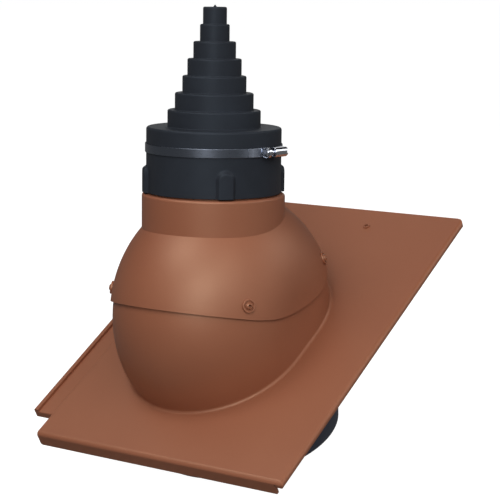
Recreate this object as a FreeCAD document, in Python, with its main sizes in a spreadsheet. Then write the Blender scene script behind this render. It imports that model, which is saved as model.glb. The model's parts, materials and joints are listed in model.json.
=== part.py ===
import FreeCAD, Part
import math
import os
import Sketcher

# Antenna roof tile: a flat interlocking tile with a domed mast passage.
# Frame: X across the roof, Y up the roof on plan, Z up. The origin is where the mast's
# axis meets the tile's top face, and the mast runs along Z. Millimetres and degrees.
#
# The lower dome and the hood share one form: a circle of dome_radius carried round a ring
# of ring_radius about a level axis across the roof. The hood therefore fits the dome at any
# tilt, so one hood serves several roof pitches before its screws are driven.

Vector = FreeCAD.Vector
Rotation = FreeCAD.Rotation
Placement = FreeCAD.Placement

doc = FreeCAD.newDocument("antenna_roof_tile")

SIZES = (
    ("roof_pitch", 30),
    # Dome: its level axis lies above the tile and behind the mast.
    ("dome_axis_height", 31),
    ("neck_offset", 19.4),
    ("ring_radius", 31.5),
    ("dome_radius", 97.2),
    ("dome_wall", 3.2),
    ("dome_fillet", 6),
    ("opening_front_angle", 66),
    ("opening_rear_angle", 38),
    ("opening_width", 140),
    # Hood: the cap over the dome, with a neck for the boot.
    ("fit_gap", 0.3),
    ("hood_wall", 2.7),
    ("rim_front_angle", 10),
    ("rim_rear_angle", 33),
    ("rim_radius", 205),
    ("neck_step", 8.2),
    ("neck_rise", 128.6),
    ("neck_wall", 3),
    ("neck_rounding", 2.6),
    ("spigot_radius", 66.2),
    ("spigot_height", 60),
    # Screws and washers that lock the hood to the dome.
    ("screw_side_angle", 58.5),
    ("screw_front_angle", 19.25),
    ("screw_rear_angle", 43.5),
    ("shank_radius", 2.4),
    ("shank_length", 14),
    ("hole_clearance", 0.35),
    ("head_radius", 4.2),
    ("head_height", 4),
    ("brow_height", 1.2),
    ("crown_radius", 1.9),
    ("crown_rounding", 3.2),
    ("recess_radius", 1.3),
    ("recess_depth", 2.4),
    ("washer_radius", 6.9),
    ("washer_thickness", 1),
    ("washer_rim_width", 1.2),
    ("washer_rim_rise", 0.6),
    ("washer_rim_rounding", 0.75),
    # Tile: plate, front apron, water lock on the left, cover lip on the right.
    ("front_run", 190),
    ("rear_run", 234),
    ("body_edge", 133),
    ("cover_edge", 172),
    ("plate_wall", 4),
    ("edge_rounding", 7.5),
    ("brim_rounding", 1.4),
    ("corner_rounding", 8),
    ("apron_drop", 17),
    ("apron_wall", 4),
    ("apron_rounding", 3),
    ("apron_end_gap", 2.2),
    ("lip_drop", 6.9),
    ("lip_wall", 8),
    ("lip_rounding", 2.2),
    ("lock_width", 32.5),
    ("lock_drop", 8.5),
    ("lock_depth", 16),
    ("lock_setback", 37),
    ("lock_rim_width", 5.5),
    ("lock_rim_rise", 3),
    # Underside: batten nibs, nail bosses, ribs and the spigot for the collar.
    ("nib_run", 218),
    ("nib_width", 34),
    ("nib_thickness", 8),
    ("nib_drop", 24),
    ("nail_spacing", 126),
    ("nail_run", 204),
    ("nail_boss_radius", 4),
    ("nail_boss_rise", 1.6),
    ("nail_radius", 2.2),
    ("rib_wall", 3),
    ("rib_drop", 9),
    ("rib_side_room", 11.5),
    ("rib_front_room", 16.5),
    ("rib_rear_room", 26.5),
    ("spigot_side_room", 13.5),
    ("spigot_end_room", 9),
    ("spigot_wall", 3),
    ("spigot_drop", 12),
    # Collar below the tile, for the roof's lining.
    ("collar_wall", 2.5),
    ("collar_radius", 105),
    ("collar_run", 30.8),
    ("collar_depth", 105.5),
    ("collar_tilt", 11.4),
    # Rubber boot: a sleeve with a stepped cone that is cut to the mast.
    ("boot_gap", 1.4),
    ("boot_wall", 3.8),
    ("boot_height", 67.4),
    ("boot_rounding", 2.5),
    ("step_rounding", 1.6),
    ("tip_radius", 1.8),
    ("tip_rise", 2.2),
    ("step_height", 17.5),
    ("step_wall", 3),
    ("step_one", 48.15),
    ("step_two", 40.6),
    ("step_three", 33),
    ("step_four", 27.9),
    ("step_five", 21.9),
    ("step_six", 15.2),
    ("step_seven", 12.25),
    ("lug_width", 20.5),
    ("lug_height", 30.5),
    ("lug_rise", 4.2),
    ("lug_taper", 42),
    # Worm-drive clamp round the boot.
    ("band_run", 42.9),
    ("band_width", 9),
    ("band_thickness", 0.9),
    ("band_gap", 0.3),
    ("tail_angle", 14),
    ("clamp_angle", 81.5),
    ("housing_length", 5),
    ("housing_setback", 1.5),
    ("housing_radius", 5.4),
    ("housing_wall", 0.9),
    ("worm_neck_radius", 2.6),
    ("worm_neck_length", 8.1),
    ("guide_length", 17),
    ("guide_radius", 5.2),
    ("guide_bore_radius", 4.1),
    ("guide_bore_depth", 11),
    ("guide_recess_radius", 3.9),
    ("guide_recess_depth", 1.2),
    ("notch_width", 2.6),
    ("notch_depth", 1.8),
    ("blade_slot_width", 1.2),
    ("blade_slot_depth", 1.2),
    ("running_gap", 0.2),
)

STEPS = ("one", "two", "three", "four", "five", "six", "seven")

size = doc.addObject("Spreadsheet::Sheet", "size")
for row, (alias, value) in enumerate(SIZES, start=1):
    size.set(f"A{row}", alias)
    size.set(f"B{row}", str(value))
    size.setAlias(f"B{row}", alias)
doc.recompute()

# Expressions that several pieces share.
AXIS_HEIGHT = ("(size.dome_axis_height + size.neck_offset * sin(size.roof_pitch))"
               " / cos(size.roof_pitch)")
NECK_TOP = f"{AXIS_HEIGHT} + size.neck_rise"
HOOD_INNER = "(size.dome_radius + size.fit_gap)"
HOOD_OUTER = f"({HOOD_INNER} + size.hood_wall)"
NECK_RADIUS = "(size.spigot_radius + size.neck_step)"
BOOT_RADIUS = "(size.spigot_radius + size.boot_wall)"
BAND_RADIUS = f"({BOOT_RADIUS} + size.band_gap + size.band_thickness)"
HOUSING_START = "(size.housing_setback + size.housing_length + size.running_gap)"
UNDERSIDE = "(0 - size.plate_wall)"
BEYOND = "(2 * size.ring_radius + 2 * size.dome_radius)"

# The dome's half width where it comes out of the plate's underside. The oval spigot and the
# ribs keep their distance from it.
FOOT = "sqrt(pow(size.dome_radius; 2) - pow(size.dome_axis_height + size.plate_wall; 2))"
SPIGOT_HALF_WIDTH = f"({FOOT} + size.spigot_side_room)"
SPIGOT_HALF_LENGTH = f"(size.ring_radius + {FOOT} + size.spigot_end_room)"
RIB_SIDE = f"({SPIGOT_HALF_WIDTH} + size.collar_wall + size.rib_side_room)"
RIB_FRONT = f"({SPIGOT_HALF_LENGTH} + size.collar_wall + size.rib_front_room)"
RIB_REAR = f"({SPIGOT_HALF_LENGTH} + size.collar_wall + size.rib_rear_room)"

# The cover's nose: a large round from the top face runs into a small one at the bottom. The
# angle between the top face and the point where they meet comes from the nose's depth.
NOSE_COS = ("((size.edge_rounding - size.lip_drop + size.lip_rounding)"
            " / (size.edge_rounding - size.lip_rounding))")
NOSE_SIN = f"sqrt(1 - pow({NOSE_COS}; 2))"
NOSE_CENTRE = "(size.cover_edge - size.lip_rounding)"


def bind(thing, **expressions):
    """Tie properties to the sheet; a double underscore stands for a dot in a path."""
    for path, expression in expressions.items():
        thing.setExpression(path.replace("__", "."), expression)
    return thing


def new_body(name):
    body = doc.addObject("PartDesign::Body", name)
    body.Label = name
    return body


def origin_item(body, role):
    return [item for item in body.Origin.OriginFeatures if item.Role == role][0]


def new_sketch(body, name, role, offset=None):
    """A sketch on one of the body's origin planes, moved along its normal by offset."""
    sketch = body.newObject("Sketcher::SketchObject", name)
    sketch.AttachmentSupport = [(origin_item(body, role), "")]
    sketch.MapMode = "FlatFace"
    if offset:
        sketch.setExpression("AttachmentOffset.Base.z", offset)
    return sketch


def pin(sketch, geometry, point, x, y):
    """Hold one point of a sketch at two expressions."""
    for kind, axis, expression in (("DistanceX", -2, x), ("DistanceY", -1, y)):
        if expression == "0":
            sketch.addConstraint(Sketcher.Constraint("PointOnObject", geometry, point, axis))
            continue
        value = float(sketch.evalExpression(expression))
        index = sketch.addConstraint(Sketcher.Constraint(kind, -1, 1, geometry, point, value))
        sketch.setExpression(f"Constraints[{index}]", expression)


def outline(body, name, role, corners, offset=None):
    """A closed outline. A corner (x, y) starts a straight side, and a corner
    (x, y, radius, turn) starts an arc that bends to the left or to the right."""
    sketch = new_sketch(body, name, role, offset)
    spots = [Vector(*(float(sketch.evalExpression(text)) for text in corner[:2]), 0)
             for corner in corners]
    sides = []
    for place, corner in enumerate(corners):
        start = spots[place]
        end = spots[(place + 1) % len(spots)]
        if len(corner) == 2:
            sides.append((sketch.addGeometry(Part.LineSegment(start, end)), 1, 2))
            continue
        radius = float(sketch.evalExpression(corner[2]))
        chord = end - start
        rise = math.sqrt(max(radius ** 2 - (chord.Length / 2) ** 2, 0))
        normal = Vector(-chord.y, chord.x, 0).normalize()
        left = corner[3] == "left"
        centre = start + chord * 0.5 + normal * (rise if left else -rise)
        first, last = (start, end) if left else (end, start)
        angles = [math.atan2(spot.y - centre.y, spot.x - centre.x) for spot in (first, last)]
        arc = Part.ArcOfCircle(Part.Circle(centre, Vector(0, 0, 1), radius), *angles)
        geometry = sketch.addGeometry(arc)
        index = sketch.addConstraint(Sketcher.Constraint("Radius", geometry, radius))
        sketch.setExpression(f"Constraints[{index}]", corner[2])
        sides.append((geometry, 1, 2) if left else (geometry, 2, 1))
    for place, (geometry, begin, finish) in enumerate(sides):
        following, following_begin, _ = sides[(place + 1) % len(sides)]
        joint = Sketcher.Constraint("Coincident", geometry, finish, following, following_begin)
        sketch.addConstraint(joint)
        pin(sketch, geometry, begin, *corners[place][:2])
    return sketch


def circle(body, name, role, centre, radius, offset=None):
    sketch = new_sketch(body, name, role, offset)
    value = float(sketch.evalExpression(radius))
    spot = Vector(*(float(sketch.evalExpression(text)) for text in centre), 0)
    geometry = sketch.addGeometry(Part.Circle(spot, Vector(0, 0, 1), value))
    index = sketch.addConstraint(Sketcher.Constraint("Radius", geometry, value))
    sketch.setExpression(f"Constraints[{index}]", radius)
    pin(sketch, geometry, 3, *centre)
    return sketch


def rectangle(body, name, role, low, high, offset=None):
    corners = (low, (high[0], low[1]), high, (low[0], high[1]))
    return outline(body, name, role, corners, offset)


def feature(body, kind, name, profile, **settings):
    """A PartDesign feature. Text on a length or an angle is an expression."""
    made = body.newObject(f"PartDesign::{kind}", name)
    made.Profile = profile
    for key, value in settings.items():
        if key in ("Length", "Length2", "TaperAngle"):
            made.setExpression(key, value)
        else:
            setattr(made, key, value)
    return made


def turn(body, kind, name, profile, axis):
    return feature(body, kind, name, profile, ReferenceAxis=(profile, [axis]), Angle=360)


def round_edges(body, name, radius, wanted):
    """Fillet the edges of the body's last feature that a test picks."""
    doc.recompute()
    tip = body.Tip
    names = [f"Edge{number}" for number, edge in enumerate(tip.Shape.Edges, start=1)
             if wanted(edge)]
    made = body.newObject("PartDesign::Fillet", name)
    made.Base = (tip, names)
    made.setExpression("Radius", radius)
    return made


def in_range(edge, **limits):
    """True where the edge's box lies inside the limits given for its axes."""
    box = edge.BoundBox
    slack = 0.01
    for axis, (low, high) in limits.items():
        if getattr(box, axis + "Min") < low - slack or getattr(box, axis + "Max") > high + slack:
            return False
    return True


def number(expression):
    return float(size.evalExpression(expression.replace("size.", "")))


def round_corner(body, name, role, corner, inward, radius):
    """Cut away what lies outside a round of that radius at one corner of a side view."""
    (x, y), (across, up) = corner, inward
    outside = BEYOND
    bend = "left" if across * up > 0 else "right"
    waste = outline(body, f"{name}_waste", role, (
        (x, f"{y} + {up} * {radius}", radius, bend),
        (f"{x} + {across} * {radius}", y),
        (f"{x} + {across} * {radius}", f"{y} - {up} * {outside}"),
        (f"{x} - {across} * {outside}", f"{y} - {up} * {outside}"),
        (f"{x} - {across} * {outside}", f"{y} + {up} * {radius}"),
    ))
    feature(body, "Pocket", name, waste, SideType="Symmetric", Length=f"4 * {BEYOND}")


def domed_profile(body, name, radius, offset=None):
    """Half of the section that is turned about the dome's level axis."""
    corners = (
        (f"0 - {radius}", "0"),
        (f"0 - {radius}", "size.ring_radius", radius, "right"),
        ("0", f"size.ring_radius + {radius}", radius, "right"),
        (radius, "size.ring_radius"),
        (radius, "0"),
    )
    return outline(body, name, "XY_Plane", corners, offset)


def screw_place(side, end, axis_height="0", pitch="0"):
    """A frame on the ring's centre line whose Z runs out through a screw."""
    wheel = "size.screw_front_angle" if end == "front" else "(180 - size.screw_rear_angle)"
    wheel = f"({wheel} + {pitch})"
    lean = f"({side} * size.screw_side_angle)"
    return (f"placement(vector(0; 0 - size.ring_radius * cos({wheel}); "
            f"{axis_height} + size.ring_radius * sin({wheel})); "
            f"rotation(vector(1; 0; 0); 90 - {wheel}) * rotation(vector(0; 1; 0); {lean}))")


SCREWS = tuple((side, end) for end in ("front", "rear") for side in (-1, 1))


def screw_holes(body, radius, axis_height="0", pitch="0"):
    for place, (side, end) in enumerate(SCREWS, start=1):
        drill = circle(body, f"screw_drill_{place}", "XY_Plane", ("0", "0"), radius)
        drill.setExpression("AttachmentOffset", screw_place(side, end, axis_height, pitch))
        feature(body, "Pocket", f"screw_hole_{place}", drill, Reversed=True,
                Length=f"{HOOD_OUTER} + size.washer_radius")


def make_tile():
    """One moulding: plate, apron, water lock, cover lip, lower dome, ribs and nibs."""
    body = new_body("tile_moulding")

    ball = domed_profile(body, "dome_section", "size.dome_radius", "size.dome_axis_height")
    turn(body, "Revolution", "dome", ball, "H_Axis")
    below = rectangle(body, "below_plate", "XY_Plane", (f"0 - {BEYOND}", f"0 - {BEYOND}"),
                      (BEYOND, BEYOND), UNDERSIDE)
    feature(body, "Pocket", "dome_foot", below, Length=BEYOND)

    lock_edge = "(size.body_edge + size.lock_width)"
    floor = "(0 - size.lock_drop)"
    section = outline(body, "plate_section", "XZ_Plane", (
        (f"0 - {lock_edge}", f"{floor} + size.lock_rim_rise"),
        (f"0 - {lock_edge}", "0 - size.lock_depth"),
        (f"0 - {lock_edge} + size.plate_wall", "0 - size.lock_depth"),
        (f"0 - {lock_edge} + size.plate_wall", f"{floor} - size.plate_wall"),
        ("0 - size.body_edge", f"{floor} - size.plate_wall"),
        ("0 - size.body_edge", "0 - size.lock_depth"),
        ("0 - size.body_edge + size.plate_wall", "0 - size.lock_depth"),
        ("0 - size.body_edge + size.plate_wall", UNDERSIDE),
        ("size.cover_edge - size.lip_wall", UNDERSIDE),
        ("size.cover_edge - size.lip_wall", "size.lip_rounding - size.lip_drop",
         "size.lip_rounding", "left"),
        ("size.cover_edge - size.lip_wall + size.lip_rounding", "0 - size.lip_drop"),
        (NOSE_CENTRE, "0 - size.lip_drop", "size.lip_rounding", "left"),
        (f"{NOSE_CENTRE} + size.lip_rounding * {NOSE_SIN}",
         f"size.lip_rounding * (1 + {NOSE_COS}) - size.lip_drop", "size.edge_rounding", "left"),
        (f"{NOSE_CENTRE} - (size.edge_rounding - size.lip_rounding) * {NOSE_SIN}", "0"),
        ("0 - size.body_edge", "0"),
        ("0 - size.body_edge", floor),
        (f"0 - {lock_edge} + size.lock_rim_width", floor),
        (f"0 - {lock_edge} + size.lock_rim_width", f"{floor} + size.lock_rim_rise"),
    ))
    feature(body, "Pad", "plate", section, SideType="Two sides",
            Length="size.front_run", Length2="size.rear_run")
    gap = rectangle(body, "lock_gap", "XY_Plane",
                    (f"0 - {lock_edge}", "0 - size.front_run"),
                    ("0 - size.body_edge", "size.lock_setback - size.front_run"))
    feature(body, "Pocket", "lock_front", gap, Length="size.lock_depth")
    stop = rectangle(body, "lock_stop_section", "XY_Plane",
                     (f"0 - {lock_edge}", "size.lock_setback - size.front_run"),
                     ("0 - size.body_edge",
                      "size.lock_setback - size.front_run + size.plate_wall"),
                     "0 - size.lock_depth")
    feature(body, "Pad", "lock_stop", stop, Length="size.lock_depth - size.lock_drop")
    nose = rectangle(body, "apron_section", "XY_Plane",
                     ("0 - size.body_edge", "0 - size.front_run"),
                     ("size.cover_edge - size.lip_wall - size.apron_end_gap",
                      "size.apron_wall - size.front_run"))
    feature(body, "Pad", "apron", nose, Length="size.apron_drop", Reversed=True)
    round_corner(body, "front_round", "YZ_Plane", ("(0 - size.front_run)", "0"), (1, -1),
                 "size.edge_rounding")
    round_corner(body, "rear_right_round", "XY_Plane", ("size.cover_edge", "size.rear_run"),
                 (-1, -1), "size.corner_rounding")
    round_corner(body, "rear_left_round", "XY_Plane", (f"(0 - {lock_edge})", "size.rear_run"),
                 (1, -1), "size.corner_rounding")

    dome_radius = number("dome_radius")
    reach = number("ring_radius + dome_radius")
    round_edges(body, "dome_blend", "size.dome_fillet", lambda edge: in_range(
        edge, Z=(0, 0), X=(-dome_radius, dome_radius), Y=(-reach, reach)))
    body_edge = -number("body_edge")
    apron_foot = -number("apron_drop")
    outer_edge = -number("body_edge + lock_width")
    lock_floor = -number("lock_drop")
    lock_front = number("lock_setback - front_run")
    rim_top = lock_floor + number("lock_rim_rise")
    apron_front = -number("front_run")
    apron_back = number("apron_wall - front_run")
    round_edges(body, "apron_corner", "size.apron_rounding", lambda edge: in_range(
        edge, X=(body_edge, body_edge), Y=(apron_front, apron_back), Z=(apron_foot, apron_foot)))
    round_edges(body, "brim_rounds", "size.brim_rounding", lambda edge: (
        in_range(edge, X=(body_edge, body_edge), Z=(0, 0))
        or in_range(edge, X=(outer_edge, outer_edge), Z=(rim_top, rim_top))
        or in_range(edge, Y=(lock_front, lock_front), Z=(lock_floor, lock_floor))))

    hollow = domed_profile(body, "hollow_section", "(size.dome_radius - size.dome_wall)",
                           "size.dome_axis_height")
    turn(body, "Groove", "dome_hollow", hollow, "H_Axis")
    reach_out = BEYOND
    mouth = outline(body, "mouth_section", "YZ_Plane", (
        ("0", "size.dome_axis_height"),
        (f"{reach_out} * cos(size.opening_rear_angle)",
         f"size.dome_axis_height + {reach_out} * sin(size.opening_rear_angle)"),
        (f"0 - {reach_out} * cos(size.opening_front_angle)",
         f"size.dome_axis_height + {reach_out} * sin(size.opening_front_angle)"),
    ))
    feature(body, "Pocket", "dome_mouth", mouth, SideType="Symmetric",
            Length="size.opening_width")
    screw_holes(body, "size.shank_radius", "size.dome_axis_height", "size.roof_pitch")

    for side in (-1, 1):
        name = "left" if side < 0 else "right"
        middle = f"{side} * size.nail_spacing / 2"
        nib = rectangle(body, f"{name}_nib_section", "XY_Plane",
                        (f"{middle} - size.nib_width / 2", "size.nib_run"),
                        (f"{middle} + size.nib_width / 2", "size.nib_run + size.nib_thickness"),
                        UNDERSIDE)
        feature(body, "Pad", f"{name}_nib", nib, Length="size.nib_drop", Reversed=True)
        boss = circle(body, f"{name}_boss_section", "XY_Plane", (middle, "size.nail_run"),
                      "size.nail_boss_radius")
        feature(body, "Pad", f"{name}_nail_boss", boss, Length="size.nail_boss_rise")
        nail = circle(body, f"{name}_nail_section", "XY_Plane", (middle, "size.nail_run"),
                      "size.nail_radius", "size.nail_boss_rise")
        feature(body, "Pocket", f"{name}_nail_hole", nail,
                Length="size.nail_boss_rise + size.plate_wall + size.rib_drop")
        rib = rectangle(body, f"{name}_rib_section", "XY_Plane",
                        (f"{side} * {RIB_SIDE} - size.rib_wall / 2",
                         "size.edge_rounding - size.front_run"),
                        (f"{side} * {RIB_SIDE} + size.rib_wall / 2", "size.nib_run"),
                        UNDERSIDE)
        feature(body, "Pad", f"{name}_rib", rib, Length="size.rib_drop", Reversed=True)
    for name, run in (("front", f"(0 - {RIB_FRONT})"), ("rear", RIB_REAR)):
        rib = rectangle(body, f"{name}_cross_section", "XY_Plane",
                        ("0 - size.body_edge", f"{run} - size.rib_wall / 2"),
                        ("size.cover_edge - size.lip_wall - size.lock_rim_width - size.lock_width",
                         f"{run} + size.rib_wall / 2"), UNDERSIDE)
        feature(body, "Pad", f"{name}_cross_rib", rib, Length="size.rib_drop", Reversed=True)
    return body


def oval(name, half_length, half_width, depth):
    """An ellipse in the tile's frame, long up the roof, below the top face by depth."""
    ring = doc.addObject("Part::Ellipse", name)
    ring.Placement = Placement(Vector(), Rotation(Vector(0, 0, 1), 90))
    bind(ring, MajorRadius=half_length, MinorRadius=half_width, Placement__Base__z=f"0 - {depth}")
    return ring


def seat_in_roof(thing):
    """Lay a piece that was drawn flat at the roof's pitch, with its dome axis in place."""
    thing.Placement = Placement(Vector(), Rotation(Vector(1, 0, 0), 30))
    bind(thing, Placement__Rotation__Angle="size.roof_pitch",
         Placement__Base__y="size.neck_offset + size.dome_axis_height * sin(size.roof_pitch)",
         Placement__Base__z=f"{AXIS_HEIGHT} - size.dome_axis_height * cos(size.roof_pitch)")
    return thing


def extruded(name, base, length):
    made = doc.addObject("Part::Extrusion", name)
    made.Base = base
    made.DirMode = "Custom"
    made.Dir = Vector(0, 0, -1)
    made.Solid = True
    made.setExpression("LengthFwd", length)
    return made


def boolean(kind, name, base, tool):
    made = doc.addObject(f"Part::{kind}", name)
    made.Base = base
    made.Tool = tool
    return made


def finish_tile(moulding):
    """Add the oval spigot round the dome's open foot, on the underside."""
    outer = oval("spigot_outer_oval", SPIGOT_HALF_LENGTH, SPIGOT_HALF_WIDTH, "size.plate_wall")
    inner = oval("spigot_inner_oval", f"{SPIGOT_HALF_LENGTH} - size.spigot_wall",
                 f"{SPIGOT_HALF_WIDTH} - size.spigot_wall", "size.plate_wall")
    ring = boolean("Cut", "spigot_ring", extruded("spigot_block", outer, "size.spigot_drop"),
                   extruded("spigot_bore", inner, "size.spigot_drop"))
    tile = boolean("Fuse", "tile", moulding, ring)
    tile.Label = "tile"
    return seat_in_roof(tile)


def skirt(name, growth):
    """The collar's outside or inside: oval at the top, round and tilted at the bottom."""
    top = oval(f"{name}_top", f"{SPIGOT_HALF_LENGTH} + {growth}",
               f"{SPIGOT_HALF_WIDTH} + {growth}", "size.plate_wall")
    waist = oval(f"{name}_waist", f"{SPIGOT_HALF_LENGTH} + {growth}",
                 f"{SPIGOT_HALF_WIDTH} + {growth}", "(size.plate_wall + size.spigot_drop)")
    mouth = doc.addObject("Part::Ellipse", f"{name}_mouth")
    bind(mouth, MajorRadius=f"size.collar_radius - size.collar_wall + {growth}",
         MinorRadius=f"size.collar_radius - size.collar_wall + {growth}")
    mouth.setExpression("Placement", (
        "placement(vector(0; 0 - size.collar_run; 0 - size.collar_depth); "
        "rotation(vector(1; 0; 0); 0 - size.collar_tilt) * rotation(vector(0; 0; 1); 90))"))
    made = doc.addObject("Part::Loft", name)
    made.Sections = [top, waist, mouth]
    made.Solid = True
    made.Ruled = True
    return made


def make_collar():
    collar = boolean("Cut", "underlay_collar", skirt("collar_outer", "size.collar_wall"),
                     skirt("collar_inner", "0"))
    collar.Label = "underlay_collar"
    return seat_in_roof(collar)


def make_hood():
    """The cap: a domed shell cut by its rim, with the neck and the spigot on top."""
    body = new_body("hood")
    shell = domed_profile(body, "hood_section", HOOD_OUTER)
    turn(body, "Revolution", "hood_shell", shell, "H_Axis")

    half_bend = "((size.rim_front_angle + size.rim_rear_angle) / 2)"
    tangent = f"(size.rim_radius * tan({half_bend}))"
    front_x, front_y = "cos(size.rim_front_angle)", "sin(size.rim_front_angle)"
    rear_x, rear_y = "cos(size.rim_rear_angle)", "sin(size.rim_rear_angle)"
    rim = outline(body, "rim_section", "YZ_Plane", (
        (f"0 - {BEYOND} * {front_x}", f"{BEYOND} * {front_y}"),
        (f"0 - {BEYOND} * {front_x}", f"0 - {BEYOND}"),
        (f"{BEYOND} * {rear_x}", f"0 - {BEYOND}"),
        (f"{BEYOND} * {rear_x}", f"{BEYOND} * {rear_y}"),
        (f"{tangent} * {rear_x}", f"{tangent} * {rear_y}", "size.rim_radius", "right"),
        (f"0 - {tangent} * {front_x}", f"{tangent} * {front_y}"),
    ))
    feature(body, "Pocket", "rim_cut", rim, SideType="Symmetric", Length=BEYOND)

    centre = ("0", "0 - size.neck_offset")
    neck = circle(body, "neck_section", "XY_Plane", centre, NECK_RADIUS, NECK_RADIUS)
    feature(body, "Pad", "neck", neck, Length=f"size.neck_rise - {NECK_RADIUS}")
    spigot = circle(body, "spigot_section", "XY_Plane", centre, "size.spigot_radius",
                    "size.neck_rise")
    feature(body, "Pad", "spigot", spigot, Length="size.spigot_height")
    hollow = domed_profile(body, "hood_hollow_section", HOOD_INNER)
    turn(body, "Groove", "hood_hollow", hollow, "H_Axis")
    bore = circle(body, "neck_bore_section", "XY_Plane", centre,
                  f"{NECK_RADIUS} - size.neck_wall")
    feature(body, "Pocket", "neck_bore", bore, Reversed=True,
            Length="size.neck_rise - size.neck_wall")
    bore = circle(body, "spigot_bore_section", "XY_Plane", centre,
                  "size.spigot_radius - size.neck_wall")
    feature(body, "Pocket", "spigot_bore", bore, Reversed=True,
            Length="size.neck_rise + size.spigot_height")
    top = number("neck_rise")
    half_step = number("neck_step") / 2
    spigot_edge = number("spigot_radius") + half_step
    round_edges(body, "neck_round", "size.neck_rounding", lambda edge: (
        in_range(edge, Z=(top, top)) and edge.BoundBox.XLength > 2 * spigot_edge))
    screw_holes(body, "size.shank_radius + size.hole_clearance")
    bind(body, Placement__Base__y="size.neck_offset", Placement__Base__z=AXIS_HEIGHT)
    return body


def set_along_screw(body, side, end):
    """Seat a fastener on the hood, in the roof's frame."""
    lift = f"placement(vector(0; size.neck_offset; {AXIS_HEIGHT}); rotation(vector(0; 0; 1); 0))"
    body.setExpression("Placement", f"{lift} * {screw_place(side, end)}")


def make_washer(number_, side, end):
    body = new_body(f"sealing_washer_{number_}")
    dish = f"({HOOD_OUTER} + size.washer_thickness)"
    ring = outline(body, f"washer_profile_{number_}", "XZ_Plane", (
        ("size.shank_radius", HOOD_OUTER),
        ("size.washer_radius", HOOD_OUTER),
        ("size.washer_radius", f"{dish} + size.washer_rim_rise", "size.washer_rim_rounding",
         "left"),
        ("size.washer_radius - size.washer_rim_width", f"{dish} + size.washer_rim_rise"),
        ("size.washer_radius - size.washer_rim_width", dish),
        ("size.shank_radius", dish),
    ))
    turn(body, "Revolution", f"washer_ring_{number_}", ring, "V_Axis")
    set_along_screw(body, side, end)
    return body


def make_screw(number_, side, end):
    body = new_body(f"hood_screw_{number_}")
    seat = f"({HOOD_OUTER} + size.washer_thickness)"
    profile = outline(body, f"screw_profile_{number_}", "XZ_Plane", (
        ("0", f"{seat} - size.shank_length"),
        ("size.shank_radius", f"{seat} - size.shank_length + size.shank_radius"),
        ("size.shank_radius", seat),
        ("size.head_radius", seat),
        ("size.head_radius", f"{seat} + size.brow_height", "size.crown_rounding", "left"),
        ("size.crown_radius", f"{seat} + size.head_height"),
        ("size.recess_radius", f"{seat} + size.head_height"),
        ("size.recess_radius", f"{seat} + size.head_height - size.recess_depth"),
        ("0", f"{seat} + size.head_height - size.recess_depth"),
    ))
    turn(body, "Revolution", f"screw_form_{number_}", profile, "V_Axis")
    set_along_screw(body, side, end)
    return body


def make_group(name, pieces):
    group = doc.addObject("Part::Compound", name)
    group.Label = name
    group.Links = pieces
    return group


def make_boot():
    """Rubber sleeve and stepped cone, closed at the tip, drawn from the neck's top face."""
    body = new_body("stepped_boot")
    outer = [("size.spigot_radius", "size.boot_gap"), (BOOT_RADIUS, "size.boot_gap")]
    inner = []
    shoulder = "(size.boot_gap + size.boot_height)"
    outer.append((BOOT_RADIUS, shoulder))
    for place, step in enumerate(STEPS):
        low = f"{shoulder} + {place} * size.step_height"
        high = f"{shoulder} + {place + 1} * size.step_height"
        outer += [(f"size.step_{step}", low),
                  (f"size.step_{step}", f"{high} - size.step_rounding", "size.step_rounding",
                   "left"),
                  (f"size.step_{step} - size.step_rounding", high)]
        inner += [(f"size.step_{step} - size.step_wall", f"{low} - size.step_wall"),
                  (f"size.step_{step} - size.step_wall", f"{high} - size.step_wall")]
    tip = f"{shoulder} + {len(STEPS)} * size.step_height"
    closed = [("size.tip_radius", tip), ("0", f"{tip} + size.tip_rise"),
              ("0", f"{tip} - size.step_wall")]
    corners = outer + closed + inner[::-1] + [("size.spigot_radius",
                                               f"{shoulder} - size.step_wall")]
    turn(body, "Revolution", "boot_form", outline(body, "boot_section", "XZ_Plane", corners),
         "V_Axis")
    boot_radius = number(BOOT_RADIUS)
    top = number(shoulder)
    round_edges(body, "boot_round", "size.boot_rounding", lambda edge: (
        in_range(edge, Z=(top, top)) and edge.BoundBox.XLength > 2 * boot_radius - 1))

    arch_start = "(size.lug_height - size.lug_width / 2)"
    foot = "size.boot_gap"
    arch = outline(body, "lug_section", "XZ_Plane", (
        ("0 - size.lug_width / 2", foot),
        ("size.lug_width / 2", foot),
        ("size.lug_width / 2", f"{foot} + {arch_start}", "size.lug_width / 2", "left"),
        ("0", f"{foot} + size.lug_height", "size.lug_width / 2", "left"),
        ("0 - size.lug_width / 2", f"{foot} + {arch_start}"),
    ), f"{BOOT_RADIUS} - size.boot_wall / 2")
    lug = feature(body, "Pad", "lug", arch, Length="size.lug_rise + size.boot_wall / 2",
                  TaperAngle="0 - size.lug_taper")
    ring = body.newObject("PartDesign::PolarPattern", "lugs")
    ring.Originals = [lug]
    ring.Axis = (origin_item(body, "Z_Axis"), [""])
    ring.Angle = 360
    ring.Occurrences = 4
    body.Tip = ring
    body.Placement = Placement(Vector(), Rotation(Vector(0, 0, 1), 45))
    bind(body, Placement__Base__z=NECK_TOP)
    return body


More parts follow.
